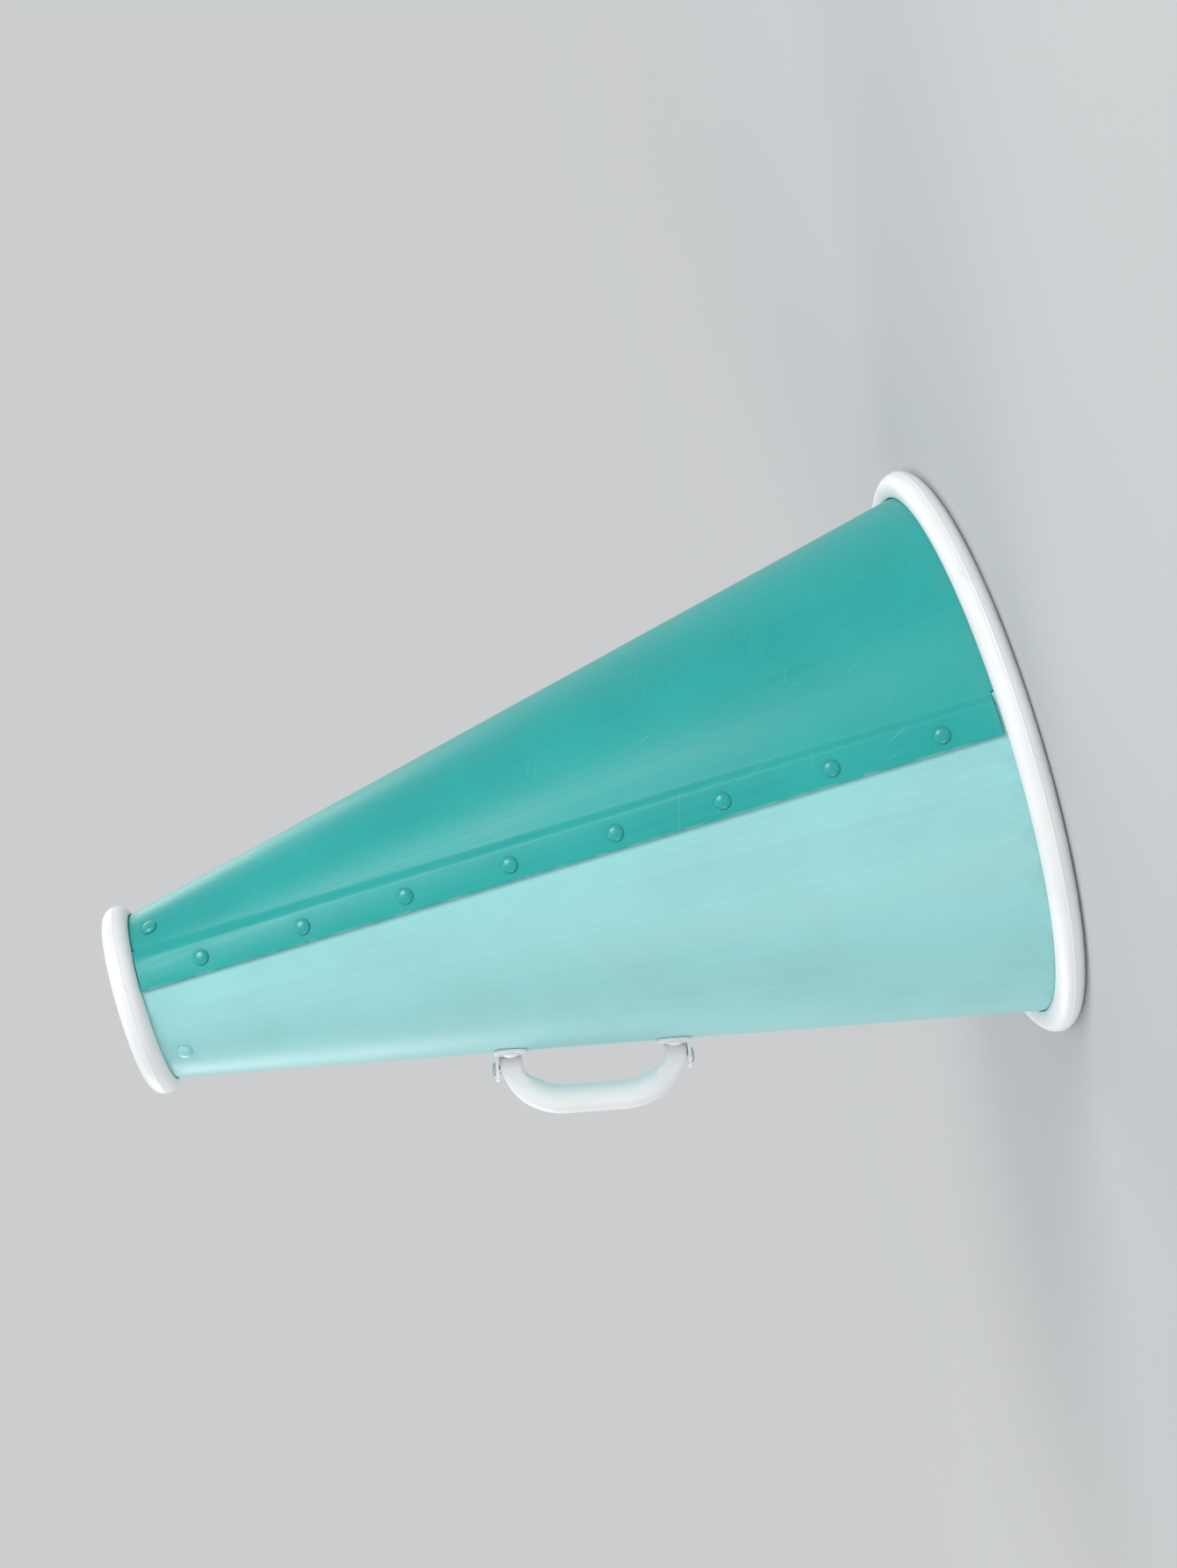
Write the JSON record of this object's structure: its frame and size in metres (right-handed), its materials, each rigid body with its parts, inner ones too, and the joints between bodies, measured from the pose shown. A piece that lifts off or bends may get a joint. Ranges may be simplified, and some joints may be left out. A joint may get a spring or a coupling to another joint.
{
  "type": "cheer megaphone",
  "caption": "Two-tone riveted cone megaphone with a thick bell rim, a moulded mouthpiece and a U-shaped bail handle that swings on pins.",
  "frame": {"origin": "centre of the bell's flat rest face, on the cone's axis", "axes": "+Z along the cone's axis from the bell to the mouthpiece; -X towards the handle and the lower panel; the lap seams are at +Y and -Y"},
  "size_m": [0.3316, 0.3316, 0.508],
  "materials": {
    "upper_sheet": "satin",
    "lower_sheet": "satin",
    "rim_plastic": "satin",
    "white_plastic": "satin",
    "white_paint": "gloss",
    "upper_rivet": "gloss",
    "lower_rivet": "gloss",
    "zinc_steel": "satin"
  },
  "bodies": {
    "megaphone": {"upper_panel": "upper_sheet", "lower_panel": "lower_sheet", "bell_rim": "rim_plastic", "bell_hoop": "zinc_steel", "mouthpiece": "white_plastic", "seam_rivet_right_1": "upper_rivet", "seam_rivet_right_2": "upper_rivet", "seam_rivet_right_3": "upper_rivet", "seam_rivet_right_4": "upper_rivet", "seam_rivet_right_5": "upper_rivet", "seam_rivet_right_6": "upper_rivet", "seam_rivet_right_7": "upper_rivet", "seam_rivet_right_8": "upper_rivet", "seam_rivet_left_1": "upper_rivet", "seam_rivet_left_2": "upper_rivet", "seam_rivet_left_3": "upper_rivet", "seam_rivet_left_4": "upper_rivet", "seam_rivet_left_5": "upper_rivet", "seam_rivet_left_6": "upper_rivet", "seam_rivet_left_7": "upper_rivet", "seam_rivet_left_8": "upper_rivet", "mouthpiece_rivet_1": "upper_rivet", "mouthpiece_rivet_2": "lower_rivet", "mouthpiece_rivet_3": "lower_rivet", "mouthpiece_rivet_4": "upper_rivet", "handle_bracket_front": "white_paint", "handle_bracket_rear": "white_paint", "hinge_pin_front": "zinc_steel", "hinge_pin_rear": "zinc_steel", "backing_plate_front": "zinc_steel", "backing_plate_rear": "zinc_steel", "bracket_rivet_front_left": "white_paint", "bracket_rivet_front_right": "white_paint", "bracket_rivet_rear_left": "white_paint", "bracket_rivet_rear_right": "white_paint"},
    "handle": {"handle": "white_plastic"}
  },
  "joints": [
    {"name": "handle_swing", "type": "hinge", "parent": "megaphone", "child": "handle", "pos_m": [-0.10719, 0, 0.26591], "axis": [0.2129, 0, 0.9771], "range_deg": [-80, 80]}
  ]
}
